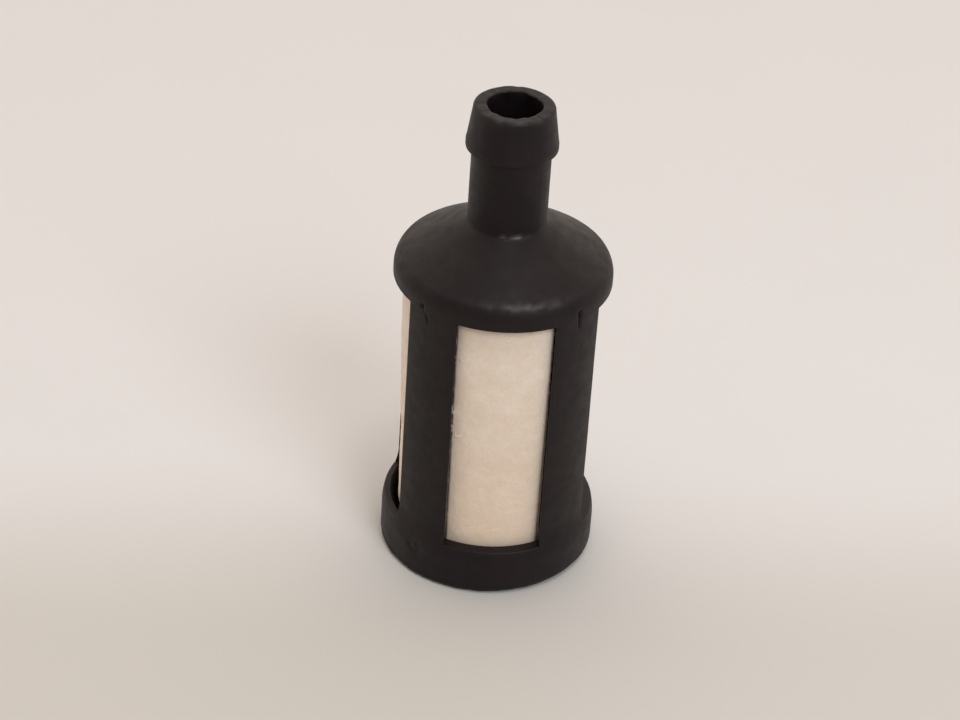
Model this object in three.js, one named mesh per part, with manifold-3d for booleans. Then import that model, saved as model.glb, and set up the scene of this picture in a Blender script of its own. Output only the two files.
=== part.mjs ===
// An in-tank fuel filter for a small two-stroke engine: a moulded cage with a hose stem, a felt sleeve seen
// through four windows, a nylon screen and a slotted core inside it, and an end cap in the base ring.
// Millimetres, +Z up along the filter's axis, origin at the centre of the base.
// The windows face -Y, +X, +Y and -X.
import * as THREE from "three";
import { mergeVertices } from "three/addons/utils/BufferGeometryUtils.js";
import Module from "manifold-3d";

const wasm = await Module();
wasm.setup();

// Cage: the outer shape, from the base up.
const BASE_RADIUS = 6.82; // flat foot of the base ring
const FOOT_CORNER = 0.25; // height of the rounded foot's corner point
const RING_RADIUS = 7.2; // widest part of the base ring
const RING_FLAT = [1.1, 2.3]; // heights between which the base ring is widest
const RING_TOP = 4.4; // where the base ring has run out into the ribs
const BODY_RADIUS = 6.84; // outside of the ribs
const RIM_START = 19.6; // where the ribs begin to flare into the shoulder
const RIM_RADIUS = 7.1;
const RIM_FLAT = [20.75, 21.05]; // heights between which the shoulder rim is widest
const RIM_ROUND = [1.9, 0.35]; // the rim rounds over gently and then tightly into the cone
const RIM_TURN = 36; // degrees above level where the tight rounding begins
const CONE_TILT = 58.6; // degrees above level that the shoulder cone faces
const CONE_HEAD_RADIUS = 2.95; // where the fillet under the stem starts
const FILLET_CORNER_RADIUS = 2.56; // corner point that the fillet bends round
const STEM_FOOT_HEIGHT = 25.05;
const STEM_RADIUS = 2.55;
const BARB_FOOT_HEIGHT = 30.05; // the barb's square underside
const BARB_RADIUS = 2.95;
const BARB_CHAMFER = 0.07;
const BARB_FLAT = [BARB_FOOT_HEIGHT + BARB_CHAMFER, 30.45]; // heights of the barb's widest band
const LIP_RADIUS = 2.6; // outside of the flat lip at the top of the stem
const LIP_ROUND = 0.22;
const LIP_ROUND_START = 9; // degrees above level where the barb's taper meets that rounding
const TOTAL_HEIGHT = 33.0;

// Cage: the inside.
const BORE_RADIUS = 1.78;
const CAP_SEAT_RADIUS = 6.45;
const CAP_SEAT_DEPTH = 1.35;
const RING_INNER_RADIUS = 6.3;
const RING_INNER_SPAN = [3.95, 4.4]; // heights between which the hollow narrows from the ring to the ribs
const CAVITY_RADIUS = 5.86;
const LAND_HEIGHT = 21.3; // flat land that the felt's top end seals against
const SOCKET_RADIUS = 4.15; // socket that takes the core's upper end
const SOCKET_HEIGHT = 22.3;
const THROAT = [3.4, 24.1]; // radius where the throat leaves the socket, and height where it meets the bore

// Windows: four parallel-sided slots.
const WINDOW_COUNT = 4;
const WINDOW_WIDTH = 6.32;
const WINDOW_SILL = 3.3;
const WINDOW_HEAD = 20.76;

// Sealing ridges that bite into the felt's two ends.
const RIDGE_RADIUS = 5.1;
const RIDGE_HEIGHT = 0.2;
const RIDGE_HALF_WIDTH = 0.2;

// Filter element.
const GAP = 0.05; // clearance between pieces that touch
const FELT_RADIUS = 5.8;
const FELT_INNER_RADIUS = 4.35;
const FELT_PAD_RADIUS = 6.25; // the felt swells out to this radius in the windows
const FELT_PAD_INSET = 0.1; // and stays this far inside their edges
const SCREEN_RADIUS = 4.3;
const CORE_RADIUS = 4.1;
const CORE_INNER_RADIUS = 3.3;
const SLOT_COLUMNS = 6;
const SLOT_ROWS = 4;
const SLOT_WIDTH = 2.5;
const SLOT_SPAN = [3.2, 20.2]; // heights between which the core is slotted
const SLOT_BRIDGE = 1.0; // height of the ring left between two rows of slots

// End cap.
const CAP_FOOT = 0.25; // how far the cap sits up inside the base ring
const CAP_TOP = CAP_SEAT_DEPTH - GAP;
const SPIGOT_RADIUS = CORE_INNER_RADIUS - 2 * GAP;
const SPIGOT_WALL = 0.7;
const SPIGOT_TOP = 2.9;
const SPIGOT_CHAMFER = 0.2;
const CAP_CHAMFER = 0.1;
const CAP_DISH_RADIUS = 5.4; // the underside is dished inside this radius
const CAP_DISH_DEPTH = 0.3;

const SEGMENTS = 64; // facets round each turned piece
const CORE_SEGMENTS = 48;

const BLACK_PLASTIC = new THREE.MeshStandardMaterial({ color: 0x2b2827, roughness: 0.5, metalness: 0 });
const WHITE_FELT = new THREE.MeshStandardMaterial({ color: 0xe6dccd, roughness: 0.95, metalness: 0 });
const NATURAL_NYLON = new THREE.MeshStandardMaterial({ color: 0xe9e4d6, roughness: 0.45, metalness: 0 });
const SCREEN_NYLON = new THREE.MeshStandardMaterial({ color: 0xf2efe8, roughness: 0.6, metalness: 0 });

// Points [radius, height] of an arc about a centre, from one angle to another in degrees.
function arc(radius, height, size, from, to, steps) {
  return Array.from({ length: steps + 1 }, (_, i) => {
    const angle = THREE.MathUtils.degToRad(from + ((to - from) * i) / steps);
    return [radius + size * Math.cos(angle), height + size * Math.sin(angle)];
  });
}

// Points of a curve from one [radius, height] point to another that bends round a corner point.
function bend(from, corner, to, steps) {
  const corners = [from, corner, to].map(([r, z]) => new THREE.Vector2(r, z));
  return new THREE.QuadraticBezierCurve(...corners).getPoints(steps).map((p) => [p.x, p.y]);
}

// Points of a smooth run from one [radius, height] point to another, parallel to the axis at both ends.
function easedRun([r0, z0], [r1, z1], steps) {
  return Array.from({ length: steps + 1 }, (_, i) => {
    const t = i / steps;
    return [r0 + (r1 - r0) * t * t * (3 - 2 * t), z0 + (z1 - z0) * t];
  });
}

// A piece turned from a closed outline of [radius, height] points about the Z axis.
function turned(outline, segments = SEGMENTS) {
  const closed = [...outline, outline[0]].map(([r, z]) => new THREE.Vector2(r, z));
  return new THREE.LatheGeometry(closed, segments).rotateX(Math.PI / 2);
}

// A closed geometry as a manifold-3d solid, facing out whichever way its outline was drawn.
function solid(geometry) {
  const bare = geometry.clone();
  bare.deleteAttribute("normal");
  bare.deleteAttribute("uv");
  const merged = mergeVertices(bare, 1e-4);
  const corners = merged.index.array;
  const make = (triVerts) => new wasm.Manifold(
    new wasm.Mesh({ numProp: 3, vertProperties: merged.attributes.position.array, triVerts }),
  );
  const made = make(Uint32Array.from(corners));
  if (made.volume() > 0) return made;
  return make(Uint32Array.from(corners, (_, i) => corners[i - (i % 3) + [0, 2, 1][i % 3]]));
}

// A manifold-3d solid as a named mesh with its own material.
function mesh(name, made, material) {
  const { vertProperties, triVerts, numProp } = made.getMesh();
  const positions = new Float32Array((vertProperties.length / numProp) * 3);
  for (let i = 0; i * numProp < vertProperties.length; i++) {
    positions.set(vertProperties.subarray(i * numProp, i * numProp + 3), i * 3);
  }
  const geometry = new THREE.BufferGeometry();
  geometry.setAttribute("position", new THREE.BufferAttribute(positions, 3));
  geometry.setIndex(new THREE.BufferAttribute(triVerts, 1));
  geometry.computeVertexNormals();
  const piece = new THREE.Mesh(geometry, material.clone());
  piece.name = name;
  return piece;
}

// A cutter that reaches outwards from the axis through a wall, turned to face the given angle from +X.
function radialSlot(width, bottom, top, reach, angle) {
  const box = new THREE.BoxGeometry(reach, width, top - bottom);
  return solid(box.translate(reach / 2, 0, (bottom + top) / 2).rotateZ(angle));
}

// A cutter through one of the cage's windows, drawn in from the window's edges by an inset.
function windowCutter(i, inset = 0) {
  const angle = (i * 2 * Math.PI) / WINDOW_COUNT;
  const [sill, head] = [WINDOW_SILL + inset, WINDOW_HEAD - inset];
  return radialSlot(WINDOW_WIDTH - 2 * inset, sill, head, 2 * RING_RADIUS, angle);
}

// Points of a ridge that stands up (way 1) or hangs down (way -1) from a face at the given height.
// They go inwards.
function ridge(height, way) {
  return [
    [RIDGE_RADIUS + RIDGE_HALF_WIDTH, height],
    [RIDGE_RADIUS, height + way * RIDGE_HEIGHT],
    [RIDGE_RADIUS - RIDGE_HALF_WIDTH, height],
  ];
}

// The outside of the cage, from the foot up to the lip.
function cageOutside() {
  const [gentle, tight] = RIM_ROUND;
  const gentleCentre = [RIM_RADIUS - gentle, RIM_FLAT[1]];
  const [tightCentre] = arc(...gentleCentre, gentle - tight, RIM_TURN, RIM_TURN, 1);
  const rim = [
    ...arc(...gentleCentre, gentle, 0, RIM_TURN, 3),
    ...arc(...tightCentre, tight, RIM_TURN, CONE_TILT, 2).slice(1),
  ];
  const [coneRadius, coneHeight] = rim.at(-1);
  const onCone = (r) => [r, coneHeight + (coneRadius - r) / Math.tan(THREE.MathUtils.degToRad(CONE_TILT))];
  return [
    ...bend([BASE_RADIUS, 0], [RING_RADIUS, FOOT_CORNER], [RING_RADIUS, RING_FLAT[0]], 4),
    ...easedRun([RING_RADIUS, RING_FLAT[1]], [BODY_RADIUS, RING_TOP], 6),
    ...easedRun([BODY_RADIUS, RIM_START], [RIM_RADIUS, RIM_FLAT[0]], 5),
    ...rim,
    ...bend(onCone(CONE_HEAD_RADIUS), onCone(FILLET_CORNER_RADIUS), [STEM_RADIUS, STEM_FOOT_HEIGHT], 6),
    [STEM_RADIUS, BARB_FOOT_HEIGHT],
    [BARB_RADIUS - BARB_CHAMFER, BARB_FOOT_HEIGHT],
    [BARB_RADIUS, BARB_FLAT[0]],
    [BARB_RADIUS, BARB_FLAT[1]],
    ...arc(LIP_RADIUS - LIP_ROUND, TOTAL_HEIGHT - LIP_ROUND, LIP_ROUND, LIP_ROUND_START, 90, 3),
  ];
}

// The inside of the cage, from the lip down to the foot.
function cageInside() {
  return [
    [BORE_RADIUS, TOTAL_HEIGHT],
    [BORE_RADIUS, THROAT[1]],
    [THROAT[0], SOCKET_HEIGHT],
    [SOCKET_RADIUS, SOCKET_HEIGHT],
    [SOCKET_RADIUS, LAND_HEIGHT],
    ...ridge(LAND_HEIGHT, -1).reverse(),
    [CAVITY_RADIUS, LAND_HEIGHT],
    [CAVITY_RADIUS, RING_INNER_SPAN[1]],
    [RING_INNER_RADIUS, RING_INNER_SPAN[0]],
    [RING_INNER_RADIUS, CAP_SEAT_DEPTH],
    [CAP_SEAT_RADIUS, CAP_SEAT_DEPTH],
    [CAP_SEAT_RADIUS, 0],
  ];
}

function cageHousing() {
  let cage = solid(turned([...cageOutside(), ...cageInside()]));
  for (let i = 0; i < WINDOW_COUNT; i++) {
    cage = cage.subtract(windowCutter(i));
  }
  return mesh("cage_housing", cage, BLACK_PLASTIC);
}

function endCap() {
  const outside = CAP_SEAT_RADIUS - GAP;
  const outline = [
    [0, CAP_FOOT + CAP_DISH_DEPTH],
    [CAP_DISH_RADIUS - CAP_DISH_DEPTH, CAP_FOOT + CAP_DISH_DEPTH],
    [CAP_DISH_RADIUS, CAP_FOOT],
    [outside - CAP_CHAMFER, CAP_FOOT],
    [outside, CAP_FOOT + CAP_CHAMFER],
    [outside, CAP_TOP],
    ...ridge(CAP_TOP, 1),
    [SPIGOT_RADIUS, CAP_TOP],
    [SPIGOT_RADIUS, SPIGOT_TOP - SPIGOT_CHAMFER],
    [SPIGOT_RADIUS - SPIGOT_CHAMFER, SPIGOT_TOP],
    [SPIGOT_RADIUS - SPIGOT_WALL, SPIGOT_TOP],
    [SPIGOT_RADIUS - SPIGOT_WALL, CAP_TOP],
    [0, CAP_TOP],
  ];
  return mesh("end_cap", solid(turned(outline)), BLACK_PLASTIC);
}

// A plain tube between two radii and two heights.
function tube(outer, inner, bottom, top, segments = SEGMENTS) {
  return solid(turned([[inner, bottom], [outer, bottom], [outer, top], [inner, top]], segments));
}

function feltSleeve() {
  const bottom = CAP_TOP + RIDGE_HEIGHT + GAP;
  const top = LAND_HEIGHT - RIDGE_HEIGHT - GAP;
  const swollen = tube(FELT_PAD_RADIUS, FELT_INNER_RADIUS, bottom, top);
  let felt = tube(FELT_RADIUS, FELT_INNER_RADIUS, bottom, top);
  for (let i = 0; i < WINDOW_COUNT; i++) {
    felt = felt.add(swollen.intersect(windowCutter(i, FELT_PAD_INSET)));
  }
  return mesh("felt_sleeve", felt, WHITE_FELT);
}

function screenSleeve() {
  const inner = CORE_RADIUS + GAP;
  const sleeve = tube(SCREEN_RADIUS, inner, CAP_TOP + GAP, LAND_HEIGHT - GAP, CORE_SEGMENTS);
  return mesh("screen_sleeve", sleeve, SCREEN_NYLON);
}

function supportCore() {
  let core = tube(CORE_RADIUS, CORE_INNER_RADIUS, CAP_TOP + GAP, SOCKET_HEIGHT - GAP, CORE_SEGMENTS);
  const pitch = (SLOT_SPAN[1] - SLOT_SPAN[0] + SLOT_BRIDGE) / SLOT_ROWS;
  for (let column = 0; column < SLOT_COLUMNS; column++) {
    const angle = (column * 2 * Math.PI) / SLOT_COLUMNS;
    for (let row = 0; row < SLOT_ROWS; row++) {
      const bottom = SLOT_SPAN[0] + row * pitch;
      const top = bottom + pitch - SLOT_BRIDGE;
      core = core.subtract(radialSlot(SLOT_WIDTH, bottom, top, 2 * CORE_RADIUS, angle));
    }
  }
  return mesh("support_core", core, NATURAL_NYLON);
}

const filter = new THREE.Group();
filter.name = "fuel_filter";
filter.add(cageHousing(), endCap(), feltSleeve(), screenSleeve(), supportCore());

export default filter;
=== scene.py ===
import math
import random

import bmesh
import bpy
from mathutils import Matrix, Quaternion, Vector, noise


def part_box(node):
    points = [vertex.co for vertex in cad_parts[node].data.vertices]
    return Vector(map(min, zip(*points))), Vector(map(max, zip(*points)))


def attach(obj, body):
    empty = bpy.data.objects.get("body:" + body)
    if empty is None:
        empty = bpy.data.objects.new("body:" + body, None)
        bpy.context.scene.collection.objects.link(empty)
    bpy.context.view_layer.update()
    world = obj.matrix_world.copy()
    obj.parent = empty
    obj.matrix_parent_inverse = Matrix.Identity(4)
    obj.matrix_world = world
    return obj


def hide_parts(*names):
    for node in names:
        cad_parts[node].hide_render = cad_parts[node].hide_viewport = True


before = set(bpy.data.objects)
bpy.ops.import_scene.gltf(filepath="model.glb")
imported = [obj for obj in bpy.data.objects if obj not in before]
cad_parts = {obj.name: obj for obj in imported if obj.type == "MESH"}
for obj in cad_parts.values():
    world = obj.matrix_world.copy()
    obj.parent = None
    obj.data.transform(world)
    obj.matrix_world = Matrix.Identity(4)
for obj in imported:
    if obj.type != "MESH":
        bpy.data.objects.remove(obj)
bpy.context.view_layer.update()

# A small in-tank fuel filter standing on a pale surface. Lengths are in millimetres until a mesh is made.
# The windows face -Y, +X, +Y and -X, and the ribs lie half way between them.
MM = 0.001
BODY = "root"
QUARTER = math.pi / 2


def size_of(node):
    """(radius, bottom, top) of a turned CAD node, in millimetres."""
    low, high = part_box(node)
    return high.x / MM, low.z / MM, high.z / MM


RING_RADIUS, FOOT, TOTAL_HEIGHT = size_of("cage_housing")
CAP_RADIUS, CAP_FOOT, SPIGOT_TOP = size_of("end_cap")
_, FELT_BOTTOM, FELT_TOP = size_of("felt_sleeve")
SCREEN_RADIUS, SCREEN_BOTTOM, SCREEN_TOP = size_of("screen_sleeve")
CORE_RADIUS, CORE_BOTTOM, CORE_TOP = size_of("support_core")

# Cage, outside. A foot or head is (radius, height), and a flat is (lowest height, highest height).
FOOT_ROUND = (0.36, 0.45)  # how far the foot's edge is rounded back, and up to which height
FOOT_LEAN = (0.15, math.radians(225))  # how far the foot's edge leans out towards a side
FOOT_WEAR = (0.16, math.radians(325))  # how far it is worn back on another side
FOOT_FADE = (0.1, 0.6)  # heights between which both fade out
RING_DRAFT = 0.07
RING_FLAT = (1.1, 2.3)
RING_TOP = 4.4
MARK_ROOM = 0.02  # keeps the surface's unevenness inside the CAD's outline
RIB_RADIUS = 6.835
RIB_TAPER = 0.04
RIM_START = 20.55
RIM_RADIUS = 7.1
RIM_FLAT = (20.67, 21.17)
RIM_ROUND = (1.6, 0.6)  # the rim rounds over gently and then tightly into the cone
RIM_TURN = math.radians(36)  # the angle above level where the tight rounding begins
CONE_TILT = math.radians(58.6)
CONE_HEAD_RADIUS = 2.75
FILLET_RADIUS = 2.57
STEM_FOOT = (2.56, 24.9)
STEM_HEAD = (2.54, 30.08)
BARB_RADIUS = 2.95
BARB_FLAT = (30.14, 30.46)
BARB_SHOULDER = 0.08  # width of the rounding at the barb's lower edge
BARB_EASE = ((0.02, 30.55), (0.05, 30.7))  # (step in, height) where the flat eases into the taper
LIP_RADIUS = 2.6
LIP_ROUND = 0.22
LIP_TURN = math.radians(8)  # the angle above level where the lip's rounding begins

# Cage, inside.
CLEARANCE = 0.05
BORE_RADIUS = 1.78
BORE_ROUND = 0.12
CAVITY_RADIUS = 5.86
RING_INNER_RADIUS = 6.3
RING_INNER_TOP = 4.1
SILL_HOLLOW = 0.36  # how far the sill's inner edge is hollowed out in the left window
SILL_FACING = (0.75, 0.95)  # how squarely a place faces left (-X) where the hollow begins and is whole
CAP_SEAT = (CAP_RADIUS + CLEARANCE, 1.35)
SEAT_CHAMFER = 0.06
LAND_HEIGHT = 21.3
LAND_RIDGE = ((5.3, 0.0), (5.1, 0.2), (4.9, 0.0))  # (radius, drop) of the ridge that bites into the felt's top
SOCKET = (CORE_RADIUS + CLEARANCE, CORE_TOP + CLEARANCE)
THROAT = (3.4, 24.1)

WINDOW_COUNT = 4
WINDOW_HALF_WIDTH = 3.15
WINDOW_SPAN = (3.3, 20.44)
WINDOW_EDGE_ROUND = 0.09


# ---------------------------------------------------------------- outlines, as lists of (radius, height)


def line(start, end, steps):
    return [tuple(a + (b - a) * i / steps for a, b in zip(start, end)) for i in range(steps + 1)]


def arc(centre, size, start, end, steps):
    """Points round a centre, from one angle above level to another."""
    angles = [start + (end - start) * i / steps for i in range(steps + 1)]
    return [(centre[0] + size * math.cos(a), centre[1] + size * math.sin(a)) for a in angles]


def bend(start, corner, end, steps):
    """Points of a curve that bends round a corner point."""
    points = []
    for i in range(steps + 1):
        t = i / steps
        points.append(tuple(
            (1 - t) ** 2 * a + 2 * t * (1 - t) * b + t * t * c for a, b, c in zip(start, corner, end)
        ))
    return points


def smooth(low, high, value):
    """0 below low, 1 above high, with a smooth step between them."""
    t = min(1.0, max(0.0, (value - low) / (high - low)))
    return t * t * (3 - 2 * t)


def point_at(angle, radius, z):
    """The point at an angle round the filter's axis, a radius and a height."""
    return Vector((radius * math.cos(angle), radius * math.sin(angle), z))


def layered(at, layers):
    """Noise at a point, from layers of (height, frequency)."""
    return sum(height * noise.noise(at * frequency) for height, frequency in layers)


def joined(*runs):
    """One list from several runs, leaving out a point that repeats the one before it."""
    points = []
    for point in (p for run in runs for p in run):
        if not points or math.dist(points[-1], point) > 1e-6:
            points.append(point)
    return points


def heights(*stops):
    """Heights from stop to stop: each stop after the first is (height, steps from the one before)."""
    values = [stops[0]]
    for end, steps in stops[1:]:
        start = values[-1]
        values += [start + (end - start) * (i + 1) / steps for i in range(steps)]
    return values


# ---------------------------------------------------------------- meshes


def new_object(name, bm, material, smooth_angle=math.radians(40)):
    """An object from a bmesh in millimetres."""
    bmesh.ops.recalc_face_normals(bm, faces=bm.faces)
    mesh = bpy.data.meshes.new(name)
    bm.to_mesh(mesh)
    bm.free()
    mesh.transform(Matrix.Scale(MM, 4))
    mesh.materials.append(material)
    mesh.shade_smooth()
    mesh.set_sharp_from_angle(angle=smooth_angle)
    piece = bpy.data.objects.new(name, mesh)
    bpy.context.scene.collection.objects.link(piece)
    return piece


def sector_columns(count, opening_steps, web_fractions):
    """Columns of a turned wall with equal openings round it. Each is (angle, weight): a column stands at
    angle + weight * the opening's half angle, which depends on the radius so that its sides are parallel.
    web_fractions are places on the web beside an opening, from 0 at its middle to 1 at its edge."""
    half_pitch = math.pi / count
    fractions = sorted({s * f for f in web_fractions for s in (-1, 1)})
    columns, openings = [], []
    for k in range(count):
        centre = 2 * k * half_pitch
        openings.append((len(columns), len(columns) + opening_steps))
        columns += [(centre, 2 * i / opening_steps - 1) for i in range(opening_steps + 1)]
        for f in fractions[1:-1]:
            columns.append((centre + half_pitch * (1 + f), -f))
    return columns, openings


def turned_wall(outline, columns, half_width, least_radius, openings=(), relief=None):
    """A bmesh turned from a closed outline, with openings through it. half_width is that of an opening, and
    least_radius the smallest radius an opening reaches. Each opening is (first row, last row, first column,
    last column, far row) where far row lies behind the first one on the wall's other side. relief moves a
    point (row, angle, radius, height). Returns the bmesh and the edges round the openings' mouths."""
    bm = bmesh.new()
    rows = []
    for m, (radius, height) in enumerate(outline):
        half_angle = math.asin(half_width / max(radius, least_radius))
        row = []
        for angle, weight in columns:
            turn = angle + weight * half_angle
            r, z = (radius, height) if relief is None else relief(m, turn, radius, height)
            row.append(bm.verts.new(point_at(turn, r, z)))
        rows.append(row)
    count, around = len(rows), len(columns)
    cut = set()
    for first, last, left, right, far in openings:
        for m in range(first, last):
            for n in range(left, right):
                cut.add((m, n))
                cut.add((far - (m - first) - 1, n))
    for m in range(count):
        for n in range(around):
            if (m, n) not in cut:
                a, b = rows[m], rows[(m + 1) % count]
                bm.faces.new((a[n], a[(n + 1) % around], b[(n + 1) % around], b[n]))
    mouths = []
    for first, last, left, right, far in openings:
        for m in range(first, last):
            behind = far - (m - first)
            for n in (left, right):
                bm.faces.new((rows[m][n], rows[m + 1][n], rows[behind - 1][n], rows[behind][n]))
                mouths.append((rows[m][n], rows[m + 1][n]))
        for m, behind in ((first, far), (last, far - (last - first))):
            for n in range(left, right):
                bm.faces.new((rows[m][n], rows[m][n + 1], rows[behind][n + 1], rows[behind][n]))
                mouths.append((rows[m][n], rows[m][n + 1]))
    bmesh.ops.delete(bm, geom=[v for v in bm.verts if not v.link_faces], context="VERTS")
    bmesh.ops.recalc_face_normals(bm, faces=bm.faces)
    return bm, [bm.edges.get(pair) for pair in mouths]


SCUFF_AND_HIGHLIGHT_PATCHES = (0.75, 1.3, 2.2)  # mean, spread and frequency of the patchiness of the scuffs and painted highlights

# Places where the cage is painted lighter, for painted highlights and glints in front and for scuffs behind:
# (direction from +X in degrees, half width in degrees, height, half height, strength).
SCUFFS_AND_HIGHLIGHTS = (
    # Painted highlight on the front of the rim.
    (-81, 20, 22.2, 0.17, 0.85),
    # Scuffs on the rim behind.
    (70, 14, 22.2, 0.14, 0.5),
    (150, 20, 22.1, 0.12, 0.35),
    # Painted glints on the fillet at the stem's foot, in front.
    (-79, 13, 24.84, 0.06, 2.4),
    (-97, 5, 24.86, 0.05, 0.9),
    (-30, 8, 24.9, 0.07, 0.4),
    # A scuff at the stem's foot behind.
    (130, 18, 24.86, 0.06, 0.8),
    # Painted highlight along the front of the lip.
    (-88, 50, 32.94, 0.16, 0.3),
)


def scuff_and_highlight(point):
    """How much lighter the cage is painted at a point in millimetres, for scuffs and for painted highlights and
    glints.
    """
    angle = math.degrees(math.atan2(point.y, point.x))
    total = 0.0
    for where, wide, height, tall, strength in SCUFFS_AND_HIGHLIGHTS:
        aside = ((angle - where + 180) % 360 - 180) / wide
        up = (point.z - height) / tall
        total += strength * math.exp(-(aside**2) - up**2)
    mean, spread, frequency = SCUFF_AND_HIGHLIGHT_PATCHES
    return total * max(0.0, mean + spread * noise.noise(point * frequency))


def mark_wear(piece, marks=None):
    """Stores how far each point stands proud of its neighbours, which is where handling polishes a surface,
    and how much lighter it is painted, for scuffs and for painted highlights and glints."""
    bm = bmesh.new()
    bm.from_mesh(piece.data)
    bm.normal_update()
    layer = bm.verts.layers.float.new("wear")
    scuff_and_highlight_layer = bm.verts.layers.float.new("scuff_and_highlight")
    for vert in bm.verts:
        vert[scuff_and_highlight_layer] = marks(vert.co / MM) if marks else 0.0
        bends = [e.calc_face_angle_signed(0.0) / e.calc_length() for e in vert.link_edges]
        vert[layer] = max(0.0, sum(bends) / len(bends)) * MM
    bm.to_mesh(piece.data)
    bm.free()


# ---------------------------------------------------------------- cage

GATE = (0, 2.3, 0.44)  # rib, height and radius of the gate's witness mark on the base ring
GATE_RING_WIDTH = 0.24
GATE_DEPTH = 0.05
GATE_RISE = 0.03
WAVES = ((0.014, 0.35), (0.005, 1.3))  # (height, frequency) of the moulding's slow unevenness
BEADS = ((0.05, 0.9), (0.03, 2.6))  # the same for the foot's edge
BEAD_FADE = (0.1, 0.8)  # heights between which the foot's unevenness fades out
PARTING_STEP = 0.012  # height of the stem's parting line
PARTING_SPAN = (25.2, 25.9, 29.2, 29.8)  # heights where it fades in and out
PARTING_WIDTH = (-0.1, 0.05, 0.4, 1.1)  # the same along the surface: a sharp edge and a slow one
CREASE_WIDTH = 0.11
CREASE_ENDS = (0.12, 0.1)  # how far a crease fades out below and above its ends
CREASE_START = 19.4  # below this there are no creases to look for
LIP_RELIEF_START = TOTAL_HEIGHT - 0.5  # above this only the mouth's own marks apply
LIP_WEAR = 0.12
FLASH_REACH = 0.22  # how far the torn flash stands into the bore at most
FLASH_SPAN = (TOTAL_HEIGHT - 0.22, TOTAL_HEIGHT - 0.08)  # heights between which it fades in
FLASH_RADII = (1.9, 2.1)  # radii between which it fades out
FLASH_FREQUENCY = 2.2
RIB_FINE_SHARE = 0.33  # the share of a rib's half width, from its middle, with narrow columns for the creases

# Creases at the ribs' heads: (rib, offset along the surface, lowest height, highest height, slant, depth).
# One that crosses the rim's step is made of two, so that it runs straight in the photo's view.
CREASES = (
    (0, -0.45, 20.5, 21.1, 0.0, 0.2),
    (0, -0.2, 19.75, 20.25, -0.2, 0.1),
    (1, -0.2, 19.85, 20.6, 0.0, 0.16),
    (1, -0.52, 20.5, 21.35, 0.0, 0.25),
    (2, 0.04, 20.0, 21.05, 0.06, 0.1),
    (3, -0.05, 20.2, 21.0, -0.08, 0.1),
)


def outer_radius(z):
    """Radius of the body's outside at a height below the shoulder's rim."""
    foot = RING_DRAFT * max(0.0, 1 - z / RING_FLAT[0]) ** 2
    foot += FOOT_ROUND[0] * max(0.0, 1 - z / FOOT_ROUND[1]) ** 2.2
    rib = RIB_RADIUS + RIB_TAPER * (1 - smooth(RING_TOP, RIM_START, z))
    ring = (RING_RADIUS - MARK_ROOM - rib) * (1 - smooth(RING_FLAT[1], RING_TOP, z))
    rim = (RIM_RADIUS - RIB_RADIUS) * smooth(RIM_START, RIM_FLAT[0], z)
    return rib + ring + rim - foot


def rib_place(angle):
    """(rib, angle from that rib's middle). Rib 0 is the front left one, and the others follow to the right."""
    turn = (angle + 2 * QUARTER) % (4 * QUARTER)
    rib = int(turn // QUARTER)
    return rib, turn - (rib + 0.5) * QUARTER


def crease_depth(rib, along, z):
    """How deep the creases are at a place: a distance along the surface from the rib's middle, and a height."""
    depth = 0.0
    for where, offset, low, high, slant, deep in CREASES:
        if where == rib:
            middle = offset + slant * ((z - low) / (high - low) - 0.5)
            across = math.exp(-(((along - middle) / CREASE_WIDTH) ** 2))
            begun = smooth(low - CREASE_ENDS[0], low + CREASE_ENDS[1], z)
            ends = begun * (1 - smooth(high - CREASE_ENDS[1], high + CREASE_ENDS[1], z))
            depth += deep * across * ends
    return depth


def cage_relief(angle, radius, z):
    """How far the moulding's small marks move a point of the outside, outwards."""
    rib, off = rib_place(angle)
    along = off * radius
    on_stem = smooth(*PARTING_SPAN[:2], z) * (1 - smooth(*PARTING_SPAN[2:], z)) * (rib % 2)
    parting = PARTING_STEP * on_stem * smooth(*PARTING_WIDTH[:2], along) * (1 - smooth(*PARTING_WIDTH[2:], along))
    at = point_at(angle, radius, z)
    (slow, slow_rate), (quick, quick_rate) = WAVES
    wave = slow * noise.noise(at * slow_rate) + quick * noise.noise(at * quick_rate + Vector((7, 1, 3)))
    out = parting + wave + layered(at, BEADS) * (1 - smooth(*BEAD_FADE, z))
    uneven = FOOT_LEAN[0] * math.cos(angle - FOOT_LEAN[1])
    uneven -= FOOT_WEAR[0] * max(0.0, math.cos(angle - FOOT_WEAR[1])) ** 2
    out += uneven * (1 - smooth(*FOOT_FADE, z))
    if z > CREASE_START:
        out -= crease_depth(rib, along, z)
    if rib == GATE[0]:
        reach = math.hypot(along, z - GATE[1])
        ring = math.exp(-(((reach - GATE[2]) / GATE_RING_WIDTH) ** 2))
        out -= GATE_DEPTH * ring * max(0.0, 0.7 + 2 * noise.noise(at * 1.8))
        out += GATE_RISE * (1 - smooth(0.05, 0.4, reach)) * (0.3 + noise.noise(at * 4))
    return out


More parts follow.
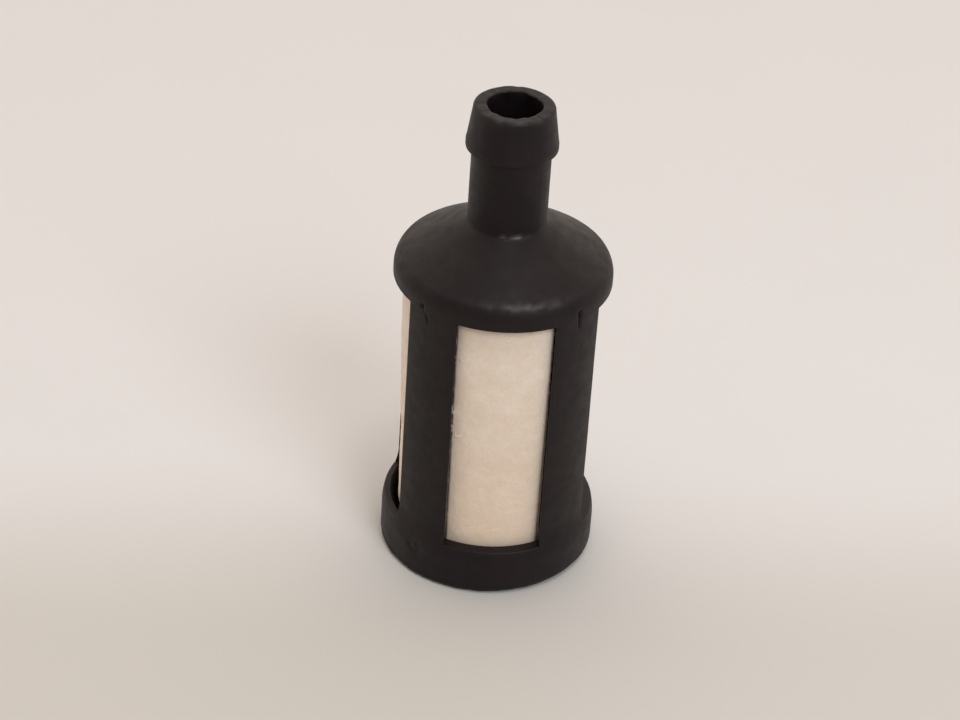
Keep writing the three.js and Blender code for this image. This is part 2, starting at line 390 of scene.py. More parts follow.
def cage_outline():
    """(outline, first and last row of the windows outside, row behind the first one, number of rows outside).
    Rows stand close together where the outline turns and at the windows' sills and heads."""
    low, high = WINDOW_SPAN
    below = heights(0.0, (0.48, 8), (1.1, 5), (1.7, 4), (low - 0.2, 14), (low, 1))
    window = heights(low, (low + 0.2, 1), (4.7, 8), (19.3, 40), (high - 0.1, 7), (high, 1))
    above = heights(high, (RIM_START, 1), (RIM_FLAT[0], 3), (RIM_FLAT[1], 4))
    wall = [(outer_radius(z), z) for z in below[:-1] + window[:-1] + above]
    gentle, tight = RIM_ROUND
    gentle_centre = (RIM_RADIUS - gentle, RIM_FLAT[1])
    tight_centre = arc(gentle_centre, gentle - tight, RIM_TURN, RIM_TURN, 1)[0]
    rim = joined(
        arc(gentle_centre, gentle, 0.0, RIM_TURN, 9), arc(tight_centre, tight, RIM_TURN, CONE_TILT, 6)
    )
    slope = math.tan(CONE_TILT)
    cone_head = (CONE_HEAD_RADIUS, rim[-1][1] + (rim[-1][0] - CONE_HEAD_RADIUS) / slope)
    corner = (FILLET_RADIUS, cone_head[1] + (CONE_HEAD_RADIUS - FILLET_RADIUS) / slope)
    barb_foot = (BARB_RADIUS - BARB_SHOULDER, STEM_HEAD[1])
    barb_low, barb_high = ((BARB_RADIUS, z) for z in BARB_FLAT)
    ease, taper_foot = ((BARB_RADIUS - step, z) for step, z in BARB_EASE)
    lip_centre = (LIP_RADIUS - LIP_ROUND, TOTAL_HEIGHT - LIP_ROUND)
    outside = joined(
        wall,
        rim,
        line(rim[-1], cone_head, 20),
        bend(cone_head, corner, STEM_FOOT, 10),
        line(STEM_FOOT, STEM_HEAD, 20),
        line(STEM_HEAD, barb_foot, 3),
        bend(barb_foot, (BARB_RADIUS, STEM_HEAD[1]), barb_low, 3),
        line(barb_low, barb_high, 3),
        bend(barb_high, ease, taper_foot, 2),
        line(taper_foot, (LIP_RADIUS, TOTAL_HEIGHT - LIP_ROUND), 10),
        arc(lip_centre, LIP_ROUND, LIP_TURN, QUARTER, 6),
        line((lip_centre[0], TOTAL_HEIGHT), (BORE_RADIUS + BORE_ROUND, TOTAL_HEIGHT), 4)[:-1],
    )
    inside = joined(
        arc((BORE_RADIUS + BORE_ROUND, TOTAL_HEIGHT - BORE_ROUND), BORE_ROUND, QUARTER, 2 * QUARTER, 4),
        line((BORE_RADIUS, TOTAL_HEIGHT - BORE_ROUND), (BORE_RADIUS, THROAT[1]), 16),
        line((BORE_RADIUS, THROAT[1]), (THROAT[0], SOCKET[1]), 4),
        [SOCKET, (SOCKET[0], LAND_HEIGHT)],
        [(radius, LAND_HEIGHT - drop) for radius, drop in LAND_RIDGE],
        [(CAVITY_RADIUS, LAND_HEIGHT)],
    )
    inner_wall = [(CAVITY_RADIUS if z > RING_INNER_TOP else RING_INNER_RADIUS, z) for z in reversed(window)]
    seat = [
        (RING_INNER_RADIUS, 2.5),
        (RING_INNER_RADIUS, CAP_SEAT[1]),
        CAP_SEAT,
        (CAP_SEAT[0], FOOT + SEAT_CHAMFER),
        (CAP_SEAT[0] + SEAT_CHAMFER, FOOT),
    ]
    first = len(below) - 1
    last = first + len(window) - 1
    far = len(outside) + len(inside) + len(window) - 1
    return outside + inside + inner_wall + seat, first, last, far, len(outside)


def lip_relief(angle, radius, z):
    """(radius, height) of a point at the stem's mouth, moved by the torn flash round its inner edge and by the
    wear of its flat end."""
    near = smooth(*FLASH_SPAN, z) * (1 - smooth(*FLASH_RADII, radius))
    at = Vector((math.cos(angle), math.sin(angle), 0)) * FLASH_FREQUENCY
    torn = max(0.0, noise.noise(at * 1.1 + Vector((3, 0, 5))) + 0.15)
    ragged = torn * (0.5 + noise.noise(at * 2.2))
    worn = max(0.0, noise.noise(at * 1.7 + Vector((0, 9, 0))))
    return radius - FLASH_REACH * ragged * near, z - LIP_WEAR * worn * smooth(TOTAL_HEIGHT - 0.1, TOTAL_HEIGHT, z)


def make_cage(material):
    """The black moulding: stem, shoulder, ribs and base ring in one."""
    outline, first, last, far, outside = cage_outline()
    fine = [i / 12 * RIB_FINE_SHARE for i in range(13)]
    coarse = [RIB_FINE_SHARE + i / 6 * (1 - RIB_FINE_SHARE) for i in range(1, 7)]
    columns, spans = sector_columns(WINDOW_COUNT, 22, fine + coarse)

    def relief(row, angle, radius, z):
        if z > LIP_RELIEF_START:
            return lip_relief(angle, radius, z)
        if row == far:
            return radius + SILL_HOLLOW * smooth(*SILL_FACING, -math.cos(angle)), z
        return (radius + cage_relief(angle, radius, z) if row < outside else radius), z

    openings = [(first, last, left, right, far) for left, right in spans]
    bm, mouths = turned_wall(outline, columns, WINDOW_HALF_WIDTH, CAVITY_RADIUS, openings, relief)
    bmesh.ops.bevel(
        bm, geom=mouths, offset=WINDOW_EDGE_ROUND, segments=3, profile=0.5, affect="EDGES", clamp_overlap=True
    )
    return new_object("cage_moulding", bm, material)


# ---------------------------------------------------------------- end cap, screen and core

CAP_TOP = CAP_SEAT[1] - CLEARANCE
CAP_DISH = (5.4, 0.3)  # radius and depth of the hollow in the cap's underside
CAP_ROUND = 0.12
CAP_COLUMNS = 160
CAP_FLOW = ((0.02, 0.5), (0.006, 2.2))  # (height, frequency) of the underside's unevenness
SPIGOT_WALL = 0.7
SPIGOT_CLEARANCE = 0.1
SPIGOT_ROUND = 0.2
SPIGOT_FILLET = 0.3
RIDGE = (5.1, 0.2)  # radius of the ridge on the cap's top, and its height and half width
AXIS = 0.02  # radius of the hole that is closed to a point
CORE_WALL = 0.8
CORE_CHAMFER = 0.1
SLOT_COLUMNS = 6
SLOT_ROWS = 4
SLOT_STEPS = 9  # steps of the mesh along a slot
SLOT_HALF_WIDTH = 1.25
SLOT_SPAN = (3.2, 20.2)
SLOT_BRIDGE = 1.0
SLOT_EDGE_ROUND = 0.12
THREAD_PITCH = 0.5
THREAD_SIDES = 5
THREAD_FULLNESS = 0.9  # a thread's radius, as a share of the room it has


def plain_columns(count):
    return [(2 * math.pi * i / count, 0.0) for i in range(count)]


def make_end_cap(material):
    """The cap that closes the base ring. It is turned with a tiny hole at the axis, which is then closed."""
    spigot = CORE_RADIUS - CORE_WALL - SPIGOT_CLEARANCE
    bore = spigot - SPIGOT_WALL
    dish = CAP_FOOT + CAP_DISH[1]
    outline = joined(
        line((AXIS, dish), (CAP_DISH[0] - 0.5, dish), 12),
        bend((CAP_DISH[0] - 0.5, dish), (CAP_DISH[0] - 0.1, dish), (CAP_DISH[0], CAP_FOOT), 6),
        line((CAP_DISH[0], CAP_FOOT), (CAP_RADIUS - CAP_ROUND, CAP_FOOT), 5),
        arc((CAP_RADIUS - CAP_ROUND, CAP_FOOT + CAP_ROUND), CAP_ROUND, -QUARTER, 0, 5),
        line((CAP_RADIUS, CAP_FOOT + CAP_ROUND), (CAP_RADIUS, CAP_TOP), 3),
        line((CAP_RADIUS, CAP_TOP), (RIDGE[0] + RIDGE[1], CAP_TOP), 3),
        [(RIDGE[0], CAP_TOP + RIDGE[1]), (RIDGE[0] - RIDGE[1], CAP_TOP)],
        bend((spigot + SPIGOT_FILLET, CAP_TOP), (spigot, CAP_TOP), (spigot, CAP_TOP + SPIGOT_FILLET), 4),
        line((spigot, CAP_TOP + SPIGOT_FILLET), (spigot, SPIGOT_TOP - SPIGOT_ROUND), 3),
        bend((spigot, SPIGOT_TOP - SPIGOT_ROUND), (spigot, SPIGOT_TOP), (spigot - SPIGOT_ROUND, SPIGOT_TOP), 4),
        line((spigot - SPIGOT_ROUND, SPIGOT_TOP), (bore, SPIGOT_TOP), 2),
        line((bore, SPIGOT_TOP), (bore, CAP_TOP), 4),
        line((bore, CAP_TOP), (AXIS, CAP_TOP), 6),
    )

    def relief(row, angle, radius, z):
        flow = layered(point_at(angle, radius, z), CAP_FLOW)
        return radius, z + flow * smooth(0.5, 1.0, radius) * (1 - smooth(CAP_FOOT, CAP_TOP, z))

    bm, _ = turned_wall(outline, plain_columns(CAP_COLUMNS), 0.0, 1.0, (), relief)
    for ring in (bm.verts[:CAP_COLUMNS], bm.verts[-CAP_COLUMNS:]):
        bmesh.ops.pointmerge(bm, verts=list(ring), merge_co=(0, 0, ring[0].co.z))
    bmesh.ops.dissolve_degenerate(bm, edges=bm.edges, dist=1e-5)
    return new_object("end_cap_moulding", bm, material)


def make_core(material):
    """The slotted tube that holds the felt up from inside."""
    inner = CORE_RADIUS - CORE_WALL
    pitch = (SLOT_SPAN[1] - SLOT_SPAN[0] + SLOT_BRIDGE) / SLOT_ROWS
    stops, marks = [CORE_BOTTOM + CORE_CHAMFER], []
    for row in range(SLOT_ROWS):
        low = SLOT_SPAN[0] + row * pitch
        stops += heights(stops[-1], (low, 3))[1:]
        marks.append((len(stops) - 1, len(stops) - 1 + SLOT_STEPS))
        stops += heights(low, (low + pitch - SLOT_BRIDGE, SLOT_STEPS))[1:]
    stops += heights(stops[-1], (CORE_TOP - CORE_CHAMFER, 5))[1:]
    outside = [(CORE_RADIUS - CORE_CHAMFER, CORE_BOTTOM)] + [(CORE_RADIUS, z) for z in stops]
    outside.append((CORE_RADIUS - CORE_CHAMFER, CORE_TOP))
    inside = [(inner + CORE_CHAMFER, CORE_TOP)] + [(inner, z) for z in reversed(stops)]
    inside.append((inner + CORE_CHAMFER, CORE_BOTTOM))
    columns, spans = sector_columns(SLOT_COLUMNS, 10, [i / 6 for i in range(7)])
    total = len(outside) + len(inside)
    openings = [
        (low + 1, high + 1, left, right, total - 2 - low) for low, high in marks for left, right in spans
    ]
    bm, mouths = turned_wall(outside + inside, columns, SLOT_HALF_WIDTH, inner, openings)
    bmesh.ops.bevel(
        bm, geom=mouths, offset=SLOT_EDGE_ROUND, segments=2, profile=0.5, affect="EDGES", clamp_overlap=True
    )
    return new_object("core_moulding", bm, material)


TAPER = 0.7  # how much thinner a tapered tube is at its ends


def add_tube(bm, points, size, sides, closed=False, taper=False):
    """Adds a thin tube along points, with its ends capped or joined. taper thins it towards its ends."""
    count = len(points)
    rings = []
    for i, at in enumerate(points):
        ahead = points[(i + 1) % count] if closed or i + 1 < count else at
        behind = points[i - 1] if closed or i > 0 else at
        way = (ahead - behind).normalized()
        side = way.cross(Vector((0, 0, 1)) if abs(way.z) < 0.9 else Vector((1, 0, 0))).normalized()
        other = way.cross(side)
        r = size * (1 - TAPER * abs(2 * i / (count - 1) - 1) ** 2) if taper else size
        turns = [2 * math.pi * k / sides for k in range(sides)]
        rings.append([bm.verts.new(at + side * (r * math.cos(t)) + other * (r * math.sin(t))) for t in turns])
    for i in range(count if closed else count - 1):
        a, b = rings[i], rings[(i + 1) % count]
        for k in range(sides):
            bm.faces.new((a[k], a[(k + 1) % sides], b[(k + 1) % sides], b[k]))
    if not closed:
        bm.faces.new(rings[0])
        bm.faces.new(rings[-1])


def make_screen(material):
    """A plain weave of nylon threads, rolled into a sleeve."""
    thread = (SCREEN_RADIUS - CORE_RADIUS) / 4
    middle = (SCREEN_RADIUS + CORE_RADIUS) / 2
    uprights = 2 * round(math.pi * middle / THREAD_PITCH)
    hoops = round((SCREEN_TOP - SCREEN_BOTTOM - 2 * thread) / THREAD_PITCH)
    pitch = (SCREEN_TOP - SCREEN_BOTTOM - 2 * thread) / hoops
    bm = bmesh.new()
    for i in range(uprights):
        turn = 2 * math.pi * i / uprights
        points = []
        for j in range(2 * hoops + 1):
            r = middle + thread * math.cos(math.pi * (i + j / 2))
            points.append(point_at(turn, r, SCREEN_BOTTOM + thread + j * pitch / 2))
        add_tube(bm, points, thread * THREAD_FULLNESS, THREAD_SIDES)
    for j in range(hoops + 1):
        points = []
        for i in range(2 * uprights):
            turn = math.pi * i / uprights
            r = middle - thread * math.cos(math.pi * (i / 2 + j))
            points.append(point_at(turn, r, SCREEN_BOTTOM + thread + j * pitch))
        add_tube(bm, points, thread * THREAD_FULLNESS, THREAD_SIDES, closed=True)
    return new_object("screen_weave", bm, material, math.radians(80))


# ---------------------------------------------------------------- felt

FELT_RADIUS = 5.8
FELT_INNER_RADIUS = 4.35
FELT_SLACK = 0.03  # how far the felt stays inside its radius behind the ribs
FELT_EDGE = 0.16  # width of the rounding at the sides of a swelling
FELT_BULGE = (6.13, 6.41)  # radius of the swelling in a window at the sill, and at its fullest
FELT_SWELL_SPAN = (0.12, 0.9)  # shares of the window's height between which it grows
FELT_FLATTEN = 0.5  # the share of the growth that is missing at a window's sides
FELT_TUCK = (0.6, 0.6)  # the share that is missing at the head, and how far below the head that begins
FELT_SILL_FADE = (-0.9, -0.5)  # heights above the sill between which the swelling begins
FELT_HEAD_FADE = (-0.02, 0.15)  # heights above the head between which it ends
FELT_LUMPS = ((0.05, 0.4), (0.02, 1.6), (0.012, 4.0))  # (height, frequency)
FELT_COLUMNS = 400
FELT_FINE_SPAN = (2.8, 20.6)  # heights between which its rows are close together
FIBRES = 4200
LOOSE_FIBRES = 110
FIBRE_RADIUS = 0.007
FIBRE_STEPS = 6
FIBRE_SINK = 0.001  # how deep a fibre's line starts in the felt
FIBRE_CURL = 1.6  # how far a fibre turns along its length at most
SEED = 7

# Tufts of pulled fibres: (direction from +X in degrees, half width in degrees, height, half height, number).
TUFTS = (
    (242.0, 0.9, 13.7, 0.4, 8),
    (242.2, 0.8, 12.2, 0.3, 7),
    (242.6, 0.8, 17.6, 0.3, 3),
    (199, 4, 4.4, 0.8, 16),
    (63, 1.0, 9.0, 0.5, 6),
    (118, 1.0, 15.5, 0.4, 5),
)
TUFT_RADIUS = 0.02


def window_place(angle, z):
    """A place on the felt as seen through the nearest window: (0 at its middle to 1 at its side edges, the
    share of the window's height from the sill up)."""
    off = (angle + QUARTER / 2) % QUARTER - QUARTER / 2
    aside = abs(FELT_BULGE[0] * math.sin(off)) / WINDOW_HALF_WIDTH
    return aside, (z - WINDOW_SPAN[0]) / (WINDOW_SPAN[1] - WINDOW_SPAN[0])


def felt_surface(angle, z):
    """Radius of the felt's outside: it bulges out through the windows, most of all in their upper half."""
    aside, up = window_place(angle, z)
    low, high = WINDOW_SPAN
    begun = smooth(low + FELT_SILL_FADE[0], low + FELT_SILL_FADE[1], z)
    ends = begun * (1 - smooth(high + FELT_HEAD_FADE[0], high + FELT_HEAD_FADE[1], z))
    filled = ends * (1 - smooth(1 - FELT_EDGE / WINDOW_HALF_WIDTH, 1.0, aside))
    tucked = 1 - FELT_TUCK[0] * smooth(high - FELT_TUCK[1], high, z)
    rounded = 1 - FELT_FLATTEN * min(1.0, aside) ** 4
    swell = (FELT_BULGE[1] - FELT_BULGE[0]) * smooth(*FELT_SWELL_SPAN, up) * rounded * tucked
    lumps = layered(point_at(angle, FELT_RADIUS, z), FELT_LUMPS)
    return FELT_RADIUS - FELT_SLACK + filled * (FELT_BULGE[0] - FELT_RADIUS + swell + lumps)


def make_felt(material):
    """The felt sleeve, with a swelling in each window."""
    fine_low, fine_high = FELT_FINE_SPAN
    levels = heights(FELT_BOTTOM + 0.15, (2.4, 4), (fine_low, 4), (fine_high, 114), (FELT_TOP - 0.1, 6))
    outside = [(FELT_RADIUS, z) for z in levels]
    ends = [(FELT_RADIUS - 0.12, FELT_TOP), (FELT_INNER_RADIUS + 0.1, FELT_TOP)]
    inside = [(FELT_INNER_RADIUS, z) for z in heights(FELT_TOP - 0.15, (FELT_BOTTOM + 0.15, 24))]
    foot = [(FELT_INNER_RADIUS + 0.1, FELT_BOTTOM), (FELT_RADIUS - 0.12, FELT_BOTTOM)]

    def relief(row, angle, radius, z):
        return (felt_surface(angle, z) if row < len(levels) else radius), z

    bm, _ = turned_wall(outside + ends + inside + foot, plain_columns(FELT_COLUMNS), 0.0, 1.0, (), relief)
    return new_object("felt", bm, material, math.radians(60))


def fibre(angle, z, heading, length, lift, curl, draw):
    """Points of one fibre that leaves the felt at a place, runs along it and lifts off it."""
    points = []
    for i in range(FIBRE_STEPS + 1):
        t = i / FIBRE_STEPS
        r = felt_surface(angle, z) - FIBRE_SINK + lift * math.sin(math.pi * min(1.0, t * 1.1)) ** 2
        points.append(point_at(angle, r, z))
        heading += curl / FIBRE_STEPS + draw.uniform(-0.12, 0.12)
        angle += length / FIBRE_STEPS * math.cos(heading) / FELT_RADIUS
        z += length / FIBRE_STEPS * math.sin(heading)
    return points


def make_fibres(material):
    """Short fibres that lie on the felt in the windows, with loose ones along the windows' edges and tufts."""
    draw = random.Random(SEED)
    low, high = WINDOW_SPAN
    half_angle = math.asin((WINDOW_HALF_WIDTH - 0.1) / FELT_BULGE[1])
    bm = bmesh.new()
    for i in range(FIBRES + LOOSE_FIBRES):
        loose = i >= FIBRES
        side = draw.choice((-1, 1))
        off = side * half_angle * draw.uniform(0.93, 1.0) if loose else half_angle * draw.uniform(-0.97, 0.97)
        angle = draw.randrange(WINDOW_COUNT) * QUARTER + off
        z = draw.uniform(low + 0.15, high - 0.15)
        heading = draw.uniform(0, 2 * math.pi)
        length = draw.uniform(0.3, 0.7) if loose else draw.uniform(0.4, 1.3)
        lift = draw.uniform(0.06, 0.2) if loose else draw.uniform(0.0, 0.014)
        if loose:
            heading = (0 if side > 0 else math.pi) + draw.uniform(-0.9, 0.9)
        points = fibre(angle, z, heading, length, lift, draw.uniform(-FIBRE_CURL, FIBRE_CURL), draw)
        if all(low < p.z < high for p in points):
            add_tube(bm, points, FIBRE_RADIUS * draw.uniform(0.7, 1.3), 3, taper=True)
    for where, wide, height, tall, number in TUFTS:
        for _ in range(number):
            angle = math.radians(where + draw.uniform(-wide, wide))
            z = height + draw.uniform(-tall, tall)
            length, lift = draw.uniform(0.35, 0.8), draw.uniform(0.08, 0.3)
            heading, curl = draw.uniform(0, 2 * math.pi), draw.uniform(-FIBRE_CURL, FIBRE_CURL)
            points = fibre(angle, z, heading, length, lift, curl, draw)
            add_tube(bm, points, TUFT_RADIUS * draw.uniform(0.6, 1.2), 5, taper=True)
    return new_object("felt_fibres", bm, material, 0.0)


# ---------------------------------------------------------------- materials

BLACK_NYLON = ((0.0042, 0.0018, 0.0024), (0.0085, 0.004, 0.0046))
BLACK_NYLON_RUBBED = (0.02, 0.0165, 0.015)
# Lighter colour for scuffs, and for painted highlights and glints on the front of the rim, the stem's foot and the
# lip.
BLACK_NYLON_SCUFF_AND_HIGHLIGHT = (0.13, 0.12, 0.125)
FELT_CREAM = ((0.86, 0.735, 0.6), (0.925, 0.825, 0.715))
FELT_PINK = (0.875, 0.735, 0.655)
FELT_FOOT_BROWN = (0.845, 0.655, 0.48)
FELT_FOOT_BROWN_SPAN = (3, 17)  # heights between which the browner tone towards the foot fades out
FELT_SHADE_BETWEEN_HAIRS = (0.66, 0.53, 0.4)  # painted shade between the hairs
FIBRE_CREAM = ((0.87, 0.745, 0.605), (0.9, 0.79, 0.67))
SCREEN_NYLON = ((0.8, 0.78, 0.72), (0.88, 0.86, 0.81))
CORE_NYLON = ((0.76, 0.72, 0.62), (0.83, 0.8, 0.72))
FLOOR_PALE = ((0.714, 0.708, 0.71), (0.734, 0.728, 0.73))
FLOOR_PAINTED_SHADE = ((0.595, 0.575, 0.54), (0.616, 0.597, 0.574))  # painted shade in front, on the left and on the right
FLOOR_SHADE_FADE_Y = (9.0, -13.0)  # where the pale colour ends and the painted shade is whole
FLOOR_SHADE_FADE_X = (-10.0, 18.0)  # where the painted shade's left colour ends and its right one is whole


class Shader:
    """A node material in the making. Sizes of patterns are in millimetres."""

    def __init__(self, name):
        self.material = bpy.data.materials.new(name)
        self.material.use_nodes = True
        self.nodes = self.material.node_tree.nodes
        self.links = self.material.node_tree.links
        self.surface = self.nodes["Principled BSDF"]
        self.place = self.nodes.new("ShaderNodeTexCoord").outputs["Object"]

    def set(self, **values):
        for name, value in values.items():
            self.surface.inputs[name.replace("_", " ")].default_value = value

    def node(self, kind, inputs=(), **settings):
        made = self.nodes.new(kind)
        for name, value in settings.items():
            setattr(made, name, value)
        for name, value in dict(inputs).items():
            if isinstance(value, bpy.types.NodeSocket):
                self.links.new(value, made.inputs[name])
            else:
                made.inputs[name].default_value = value
        return made

    def noise(self, size, detail=3.0, rough=0.55, stretch=(1, 1, 1)):
        """Noise with blobs of about this size, from 0 to 1."""
        place = self.node("ShaderNodeMapping", {"Vector": self.place, "Scale": stretch}).outputs[0]
        inputs = {"Vector": place, "Scale": 1 / (size * MM), "Detail": detail, "Roughness": rough}
        return self.node("ShaderNodeTexNoise", inputs).outputs[0]

    def between(self, value, low, high, start, end):
        """value from low to high, remapped to run from start to end."""
        inputs = {"Value": value, "From Min": low, "From Max": high, "To Min": start, "To Max": end}
        return self.node("ShaderNodeMapRange", inputs).outputs[0]

    def mix(self, share, first, second):
        made = self.node("ShaderNodeMix", data_type="RGBA")
        for slot, value in ((0, share), (6, first), (7, second)):
            if isinstance(value, bpy.types.NodeSocket):
                self.links.new(value, made.inputs[slot])
            else:
                made.inputs[slot].default_value = value if slot == 0 else (*value, 1)
        return made.outputs[2]

    def bump(self, height, depth, under=None):
        """A bump as deep as depth for a height that runs from 0 to 1."""
        inputs = {"Height": height, "Distance": depth * MM, "Strength": 1.0}
        if under:
            inputs["Normal"] = under
        return self.node("ShaderNodeBump", inputs).outputs[0]

    def drive(self, socket, value):
        self.links.new(value, self.surface.inputs[socket])


def plastic_material():
    """Black fuel-resistant nylon, satin as moulded, greyer where it has rubbed, and lighter where scuffs and
    painted highlights and glints are marked.
    """
    s = Shader("black_nylon")
    s.set(Specular_IOR_Level=0.29, IOR=1.5)
    wear = s.node("ShaderNodeAttribute", attribute_name="wear").outputs["Fac"]
    scuffs_and_highlights = s.node("ShaderNodeAttribute", attribute_name="scuff_and_highlight").outputs["Fac"]
    patches = s.noise(2.4, 4.0)
    grain = s.noise(0.16, 4.0, 0.6)
    cloud = s.mix(s.between(patches, 0.3, 0.7, 0, 1), *BLACK_NYLON)
    rubbed = s.mix(s.between(wear, 0.3, 3.0, 0, 0.3), cloud, BLACK_NYLON_RUBBED)
    # Lighter where scuffed and where highlights and glints are painted.
    s.drive("Base Color", s.mix(s.between(scuffs_and_highlights, 0, 2, 0, 1), rubbed, BLACK_NYLON_SCUFF_AND_HIGHLIGHT))
    s.drive("Roughness", s.between(s.noise(0.9, 5.0, 0.6), 0.3, 0.7, 0.47, 0.62))
    coarse = s.bump(s.noise(0.7, 3.0), 0.006)
    s.drive("Normal", s.bump(grain, 0.005, coarse))
    return s.material


def felt_material():
    """Cream needled felt with yellower and pinker patches, browner towards its foot, and with painted shade
    between its hairs.
    """
    s = Shader("cream_felt")
    s.set(Roughness=0.95, Specular_IOR_Level=0.2, Sheen_Weight=0.5, Sheen_Roughness=0.5)
    patches = s.between(s.noise(1.3, 4.0, 0.6), 0.35, 0.65, 0, 1)
    pink = s.between(s.noise(1.6, 3.0), 0.48, 0.66, 0, 0.7)
    hairs = s.noise(0.08, 4.0, 0.7, (1, 1, 0.35))
    height = s.node("ShaderNodeSeparateXYZ", {"Vector": s.place}).outputs["Z"]
    # Browner and darker towards the felt's foot.
    footward = s.between(height, FELT_FOOT_BROWN_SPAN[0] * MM, FELT_FOOT_BROWN_SPAN[1] * MM, 0.6, 0)
    tinted = s.mix(pink, s.mix(patches, *FELT_CREAM), FELT_PINK)
    browned = s.mix(footward, tinted, FELT_FOOT_BROWN)
    # Painted shade between the hairs, where the bump is lowest.
    s.drive("Base Color", s.mix(s.between(hairs, 0.35, 0.6, 0.22, 0), browned, FELT_SHADE_BETWEEN_HAIRS))
    tufts = s.bump(s.noise(0.5, 3.0, 0.6), 0.022)
    s.drive("Normal", s.bump(hairs, 0.012, tufts))
    return s.material


def fibre_material():
    """The felt's cream, without the browner tone towards its foot."""
    s = Shader("felt_fibre")
    s.set(Roughness=0.8, Specular_IOR_Level=0.3)
    s.drive("Base Color", s.mix(s.noise(0.8, 2.0), *FIBRE_CREAM))
    s.drive("Normal", s.bump(s.noise(0.03, 2.0), 0.002))
    return s.material


def nylon_material(name, dark, light, size):
    """Undyed nylon: milky, with flow marks of the given size."""
    s = Shader(name)
    s.set(Specular_IOR_Level=0.5, Subsurface_Weight=0.25, Subsurface_Scale=0.4 * MM)
    s.drive("Base Color", s.mix(s.noise(size, 4.0), dark, light))
    s.drive("Roughness", s.between(s.noise(size / 3, 4.0), 0.3, 0.7, 0.35, 0.5))
    s.drive("Normal", s.bump(s.noise(size / 8, 4.0), 0.004))
    return s.material


def floor_material():
    """Warm pale grey, with a painted shadow in front of the filter that is darker and yellower, most of all on the
    left.
    """
    s = Shader("pale_floor")
    s.set(Roughness=0.6, Specular_IOR_Level=0.25)
    split = s.node("ShaderNodeSeparateXYZ", {"Vector": s.place}).outputs
    # Painted shadow in front of the filter, fading in towards the camera.
    front = s.between(split["Y"], FLOOR_SHADE_FADE_Y[0] * MM, FLOOR_SHADE_FADE_Y[1] * MM, 0, 1)
    front.node.interpolation_type = "SMOOTHSTEP"
    right = s.between(split["X"], FLOOR_SHADE_FADE_X[0] * MM, FLOOR_SHADE_FADE_X[1] * MM, 0, 1)
    right.node.interpolation_type = "SMOOTHSTEP"
    pale = s.mix(s.noise(14, 3.0), *FLOOR_PALE)
    near = s.mix(right, *FLOOR_PAINTED_SHADE)
    s.drive("Base Color", s.mix(front, pale, near))
    s.drive("Normal", s.bump(s.noise(0.8, 4.0), 0.006))
    return s.material


# ---------------------------------------------------------------- setting

FLOOR_HALF_WIDTH = 3000.0
CAMERA_AIM = Vector((-1.205, -1.14, 14.65))
CAMERA_DISTANCE = 180.09
CAMERA_AZIMUTH = math.radians(-4.04)
CAMERA_ELEVATION = math.radians(33.32)
CAMERA_ROLL = math.radians(3.8)
CAMERA_LENS = 103.2
CAMERA_SENSOR = 36.0
KEY_AZIMUTH = math.radians(27)
KEY_ELEVATION = math.radians(43)
KEY_DISTANCE = 700.0
KEY_WIDTH = 330.0
KEY_WATTS = 1.6
KEY_COLOUR = (0.84, 0.93, 1.0)
SKY_FRONT = (0.36, 0.31, 0.28)
SKY_BACK = (1.22, 1.09, 0.98)
LAMP_AZIMUTH = math.radians(12)
LAMP_ELEVATION = math.radians(72)
LAMP_DISTANCE = 500.0
LAMP_WIDTH = 110.0
LAMP_WATTS = 0.3
LAMP_COLOUR = (1.0, 0.96, 0.92)


def direction(azimuth, elevation):
    """Unit vector from the filter towards a light or camera. Azimuth 0 is in front, along -Y."""
    level = math.cos(elevation)
    return Vector((math.sin(azimuth) * level, -math.cos(azimuth) * level, math.sin(elevation)))


def make_floor():
    bm = bmesh.new()
    bmesh.ops.create_grid(bm, x_segments=24, y_segments=24, size=FLOOR_HALF_WIDTH)
    floor = new_object("floor", bm, floor_material())


def make_light(name, azimuth, elevation, distance, width, watts, colour):
    """A round area light that faces the filter's foot."""
    lamp = bpy.data.lights.new(name, "AREA")
    lamp.shape = "DISK"
    lamp.size = width * MM
    lamp.energy = watts
    lamp.color = colour
    light = bpy.data.objects.new(name, lamp)
    away = direction(azimuth, elevation)
    light.location = away * (distance * MM)
    light.rotation_mode = "QUATERNION"
    light.rotation_quaternion = away.to_track_quat("Z", "Y")
    bpy.context.scene.collection.objects.link(light)


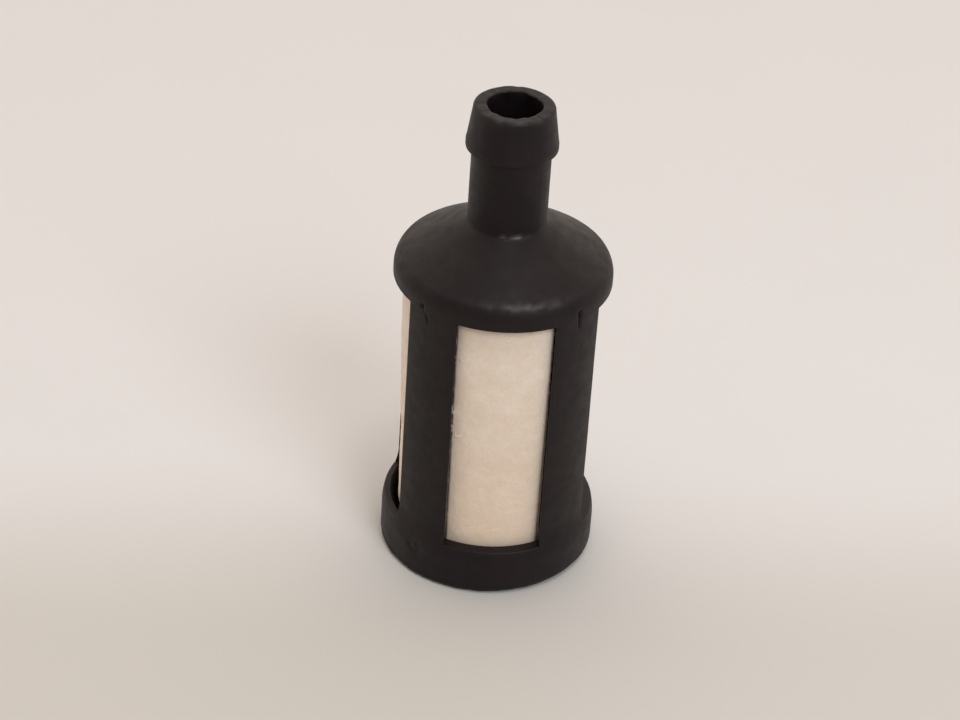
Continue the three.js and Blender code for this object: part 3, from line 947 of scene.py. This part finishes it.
def make_sky():
    """Soft light from all round, brighter behind the filter than in front of it."""
    world = bpy.data.worlds.new("soft_room")
    world.use_nodes = True
    nodes, links = world.node_tree.nodes, world.node_tree.links
    place = nodes.new("ShaderNodeTexCoord")
    split = nodes.new("ShaderNodeSeparateXYZ")
    ramp = nodes.new("ShaderNodeValToRGB")
    share = nodes.new("ShaderNodeMapRange")
    share.inputs["From Min"].default_value = -1.0
    ramp.color_ramp.elements[0].color = (*SKY_FRONT, 1)
    ramp.color_ramp.elements[1].color = (*SKY_BACK, 1)
    ramp.color_ramp.interpolation = "EASE"
    links.new(place.outputs["Generated"], split.inputs[0])
    links.new(split.outputs["Y"], share.inputs["Value"])
    links.new(share.outputs[0], ramp.inputs[0])
    links.new(ramp.outputs[0], nodes["Background"].inputs["Color"])
    bpy.context.scene.world = world


def make_camera():
    """The photo's view of the filter."""
    lens = bpy.data.cameras.new("camera")
    lens.lens = CAMERA_LENS
    lens.sensor_width = CAMERA_SENSOR
    lens.clip_start = 1 * MM
    lens.clip_end = 10000 * MM
    camera = bpy.data.objects.new("camera", lens)
    back = direction(CAMERA_AZIMUTH, CAMERA_ELEVATION)
    camera.location = (CAMERA_AIM + back * CAMERA_DISTANCE) * MM
    camera.rotation_mode = "QUATERNION"
    camera.rotation_quaternion = back.to_track_quat("Z", "Y") @ Quaternion((0, 0, 1), CAMERA_ROLL)
    bpy.context.scene.collection.objects.link(camera)
    bpy.context.scene.camera = camera


def stand_for(piece, node):
    """The piece takes the CAD node's place and moves with the filter."""
    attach(piece, BODY)
    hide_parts(node)


def main():
    bpy.context.scene.view_settings.view_transform = "Standard"
    make_camera()
    make_sky()
    make_light("window_light", KEY_AZIMUTH, KEY_ELEVATION, KEY_DISTANCE, KEY_WIDTH, KEY_WATTS, KEY_COLOUR)
    make_light("lamp", LAMP_AZIMUTH, LAMP_ELEVATION, LAMP_DISTANCE, LAMP_WIDTH, LAMP_WATTS, LAMP_COLOUR)
    make_floor()
    plastic = plastic_material()
    cage = make_cage(plastic)
    mark_wear(cage, scuff_and_highlight)
    cap = make_end_cap(plastic)
    mark_wear(cap)
    stand_for(cage, "cage_housing")
    stand_for(cap, "end_cap")
    stand_for(make_felt(felt_material()), "felt_sleeve")
    fibres = make_fibres(fibre_material())
    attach(fibres, BODY)
    screen = nylon_material("screen_nylon", *SCREEN_NYLON, 1.0)
    core = nylon_material("natural_nylon", *CORE_NYLON, 3.0)
    stand_for(make_screen(screen), "screen_sleeve")
    stand_for(make_core(core), "support_core")


main()
